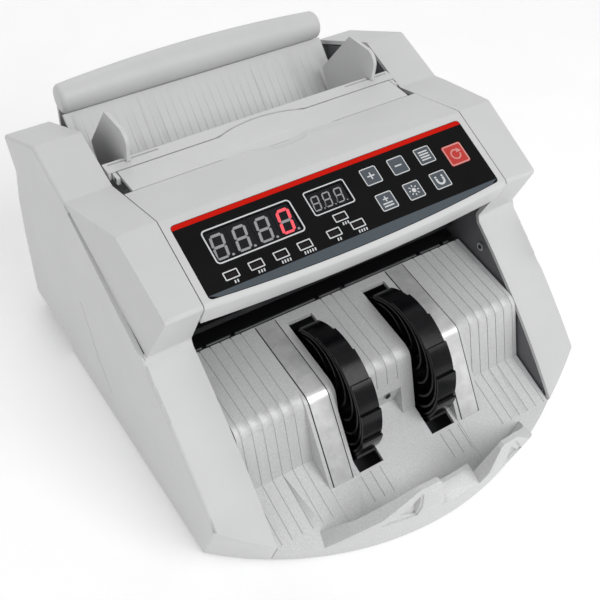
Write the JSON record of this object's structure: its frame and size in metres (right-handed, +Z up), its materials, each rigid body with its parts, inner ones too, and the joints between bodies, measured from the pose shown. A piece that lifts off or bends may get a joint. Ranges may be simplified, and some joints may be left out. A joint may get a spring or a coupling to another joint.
{
  "type": "banknote counting machine",
  "caption": "Desktop banknote counter with a sloping hopper, lit control panel, rubber stacker wheels and a round-fronted stacker pocket.",
  "frame": {"origin": "on the surface the feet stand on, under the middle of the machine's overall width and depth", "axes": "+X to the operator's right, +Y to the rear, +Z up; the operator faces +Y"},
  "size_m": [0.244, 0.2928, 0.1651],
  "materials": {
    "casing": "fine satin texture",
    "dark_casing": "matt",
    "overlay": "semi-gloss printed film",
    "key": "satin",
    "restart_key": "satin",
    "display": "semi-gloss",
    "lamp": "translucent",
    "board": "solder mask",
    "rubber": "matt",
    "roller_rubber": "ground",
    "chrome": "polished",
    "steel": "zinc plated",
    "painted_steel": "satin",
    "shaft_steel": "ground",
    "bush": "sintered",
    "pulley": "moulded",
    "belt": "moulded",
    "lamp_glass": "tinted",
    "transformer": "varnished laminations",
    "black_plastic": "moulded"
  },
  "bodies": {
    "machine_frame": {"right_side_cover": "casing", "left_side_cover": "casing", "front_cover": "casing", "rear_cover": "casing", "panel_overlay": "overlay", "count_display": "display", "batch_display": "display", "indicator_leds": "lamp", "display_board": "board", "flap_hinge_pins": "shaft_steel", "guide_bar": "casing", "hopper_tray": "casing", "stacker_tray": "casing", "chrome_strips": "chrome", "right_side_plate": "painted_steel", "left_side_plate": "painted_steel", "tie_rods": "steel", "shaft_bearings": "bush", "retard_rollers": "roller_rubber", "feed_guide": "steel", "sensor_bar": "black_plastic", "uv_lamp": "lamp_glass", "drive_belt": "belt", "transport_belt": "belt", "stacker_belt": "belt", "drive_motor": "steel", "transformer": "transformer", "main_board": "board", "base_pan": "painted_steel", "rubber_feet": "rubber", "power_inlet": "black_plastic", "switch_frame": "black_plastic", "cover_screws": "steel"},
    "feed_roller_set": {"feed_shaft": "shaft_steel", "feed_rollers": "roller_rubber", "feed_pulley": "pulley"},
    "pickup_roller_set": {"pickup_shaft": "shaft_steel", "pickup_rollers": "roller_rubber", "pickup_pulley": "pulley"},
    "exit_roller_set": {"exit_shaft": "shaft_steel", "exit_rollers": "roller_rubber", "exit_pulley": "pulley"},
    "stacker_wheel_set": {"stacker_shaft": "shaft_steel", "right_stacker_wheel": "rubber", "left_stacker_wheel": "rubber", "stacker_pulley": "pulley"},
    "pinch_roller_set": {"pinch_rollers": "pulley"},
    "motor_rotor": {"motor_pulley": "pulley"},
    "flap": {"top_flap": "casing"},
    "right_guide": {"right_note_guide": "casing"},
    "left_guide": {"left_note_guide": "casing"},
    "mains_rocker": {"switch_rocker": "black_plastic"},
    "gap_knob": {"gap_adjust_knob": "black_plastic"},
    "key_plus_cap": {"key_plus": "key"},
    "key_minus_cap": {"key_minus": "key"},
    "key_batch_cap": {"key_batch": "key"},
    "key_add_cap": {"key_add": "key"},
    "key_uv_cap": {"key_uv": "key"},
    "key_mg_cap": {"key_mg": "key"},
    "key_restart_cap": {"key_restart": "restart_key"}
  },
  "joints": [
    {"name": "feed_spin", "type": "hinge", "parent": "machine_frame", "child": "feed_roller_set", "pos_m": [0, 0.08527, 0.0675], "axis": [1, 0, 0], "continuous": true},
    {"name": "pickup_spin", "type": "hinge", "parent": "machine_frame", "child": "pickup_roller_set", "pos_m": [0, 0.10297, 0.0998], "axis": [1, 0, 0], "continuous": true},
    {"name": "exit_spin", "type": "hinge", "parent": "machine_frame", "child": "exit_roller_set", "pos_m": [0, 0.02347, 0.0671], "axis": [1, 0, 0], "continuous": true},
    {"name": "stacker_spin", "type": "hinge", "parent": "machine_frame", "child": "stacker_wheel_set", "pos_m": [0, -0.05933, 0.047], "axis": [1, 0, 0], "continuous": true},
    {"name": "pinch_spin", "type": "hinge", "parent": "machine_frame", "child": "pinch_roller_set", "pos_m": [0, 0.02347, 0.0851], "axis": [1, 0, 0], "continuous": true},
    {"name": "motor_spin", "type": "hinge", "parent": "machine_frame", "child": "motor_rotor", "pos_m": [0, 0.03947, 0.03], "axis": [1, 0, 0], "continuous": true},
    {"name": "flap_hinge", "type": "hinge", "parent": "machine_frame", "child": "flap", "pos_m": [0, 0.05297, 0.1445], "axis": [-1, 0, 0], "range_deg": [0, 75]},
    {"name": "right_guide_slide", "type": "slide", "parent": "machine_frame", "child": "right_guide", "axis": [1, 0, 0], "range_m": [-0.017, 0.007]},
    {"name": "left_guide_slide", "type": "slide", "parent": "machine_frame", "child": "left_guide", "axis": [-1, 0, 0], "range_m": [-0.017, 0.007]},
    {"name": "mains_rocker_tilt", "type": "hinge", "parent": "machine_frame", "child": "mains_rocker", "pos_m": [-0.024, 0.13507, 0.034], "axis": [1, 0, 0], "range_deg": [-14, 0]},
    {"name": "gap_knob_turn", "type": "hinge", "parent": "machine_frame", "child": "gap_knob", "pos_m": [0, 0.14107, 0.104], "axis": [0, 1, 0], "range_deg": [-180, 180]},
    {"name": "key_plus_press", "type": "slide", "parent": "machine_frame", "child": "key_plus_cap", "axis": [0, 0.395, -0.9187], "range_m": [0, 0.0005], "stiffness_N_per_m": 1500, "springref_m": -0.0002},
    {"name": "key_minus_press", "type": "slide", "parent": "machine_frame", "child": "key_minus_cap", "axis": [0, 0.395, -0.9187], "range_m": [0, 0.0005], "stiffness_N_per_m": 1500, "springref_m": -0.0002},
    {"name": "key_batch_press", "type": "slide", "parent": "machine_frame", "child": "key_batch_cap", "axis": [0, 0.395, -0.9187], "range_m": [0, 0.0005], "stiffness_N_per_m": 1500, "springref_m": -0.0002},
    {"name": "key_add_press", "type": "slide", "parent": "machine_frame", "child": "key_add_cap", "axis": [0, 0.395, -0.9187], "range_m": [0, 0.0005], "stiffness_N_per_m": 1500, "springref_m": -0.0002},
    {"name": "key_uv_press", "type": "slide", "parent": "machine_frame", "child": "key_uv_cap", "axis": [0, 0.395, -0.9187], "range_m": [0, 0.0005], "stiffness_N_per_m": 1500, "springref_m": -0.0002},
    {"name": "key_mg_press", "type": "slide", "parent": "machine_frame", "child": "key_mg_cap", "axis": [0, 0.395, -0.9187], "range_m": [0, 0.0005], "stiffness_N_per_m": 1500, "springref_m": -0.0002},
    {"name": "key_restart_press", "type": "slide", "parent": "machine_frame", "child": "key_restart_cap", "axis": [0, 0.395, -0.9187], "range_m": [0, 0.0005], "stiffness_N_per_m": 1500, "springref_m": -0.0002}
  ],
  "couplings": [
    {"joint": "motor_spin", "follows": "feed_spin", "ratio": 2.5714},
    {"joint": "pickup_spin", "follows": "feed_spin", "ratio": 1.4},
    {"joint": "exit_spin", "follows": "feed_spin", "ratio": 2},
    {"joint": "stacker_spin", "follows": "feed_spin", "ratio": 0.82353},
    {"joint": "pinch_spin", "follows": "feed_spin", "ratio": -3}
  ]
}
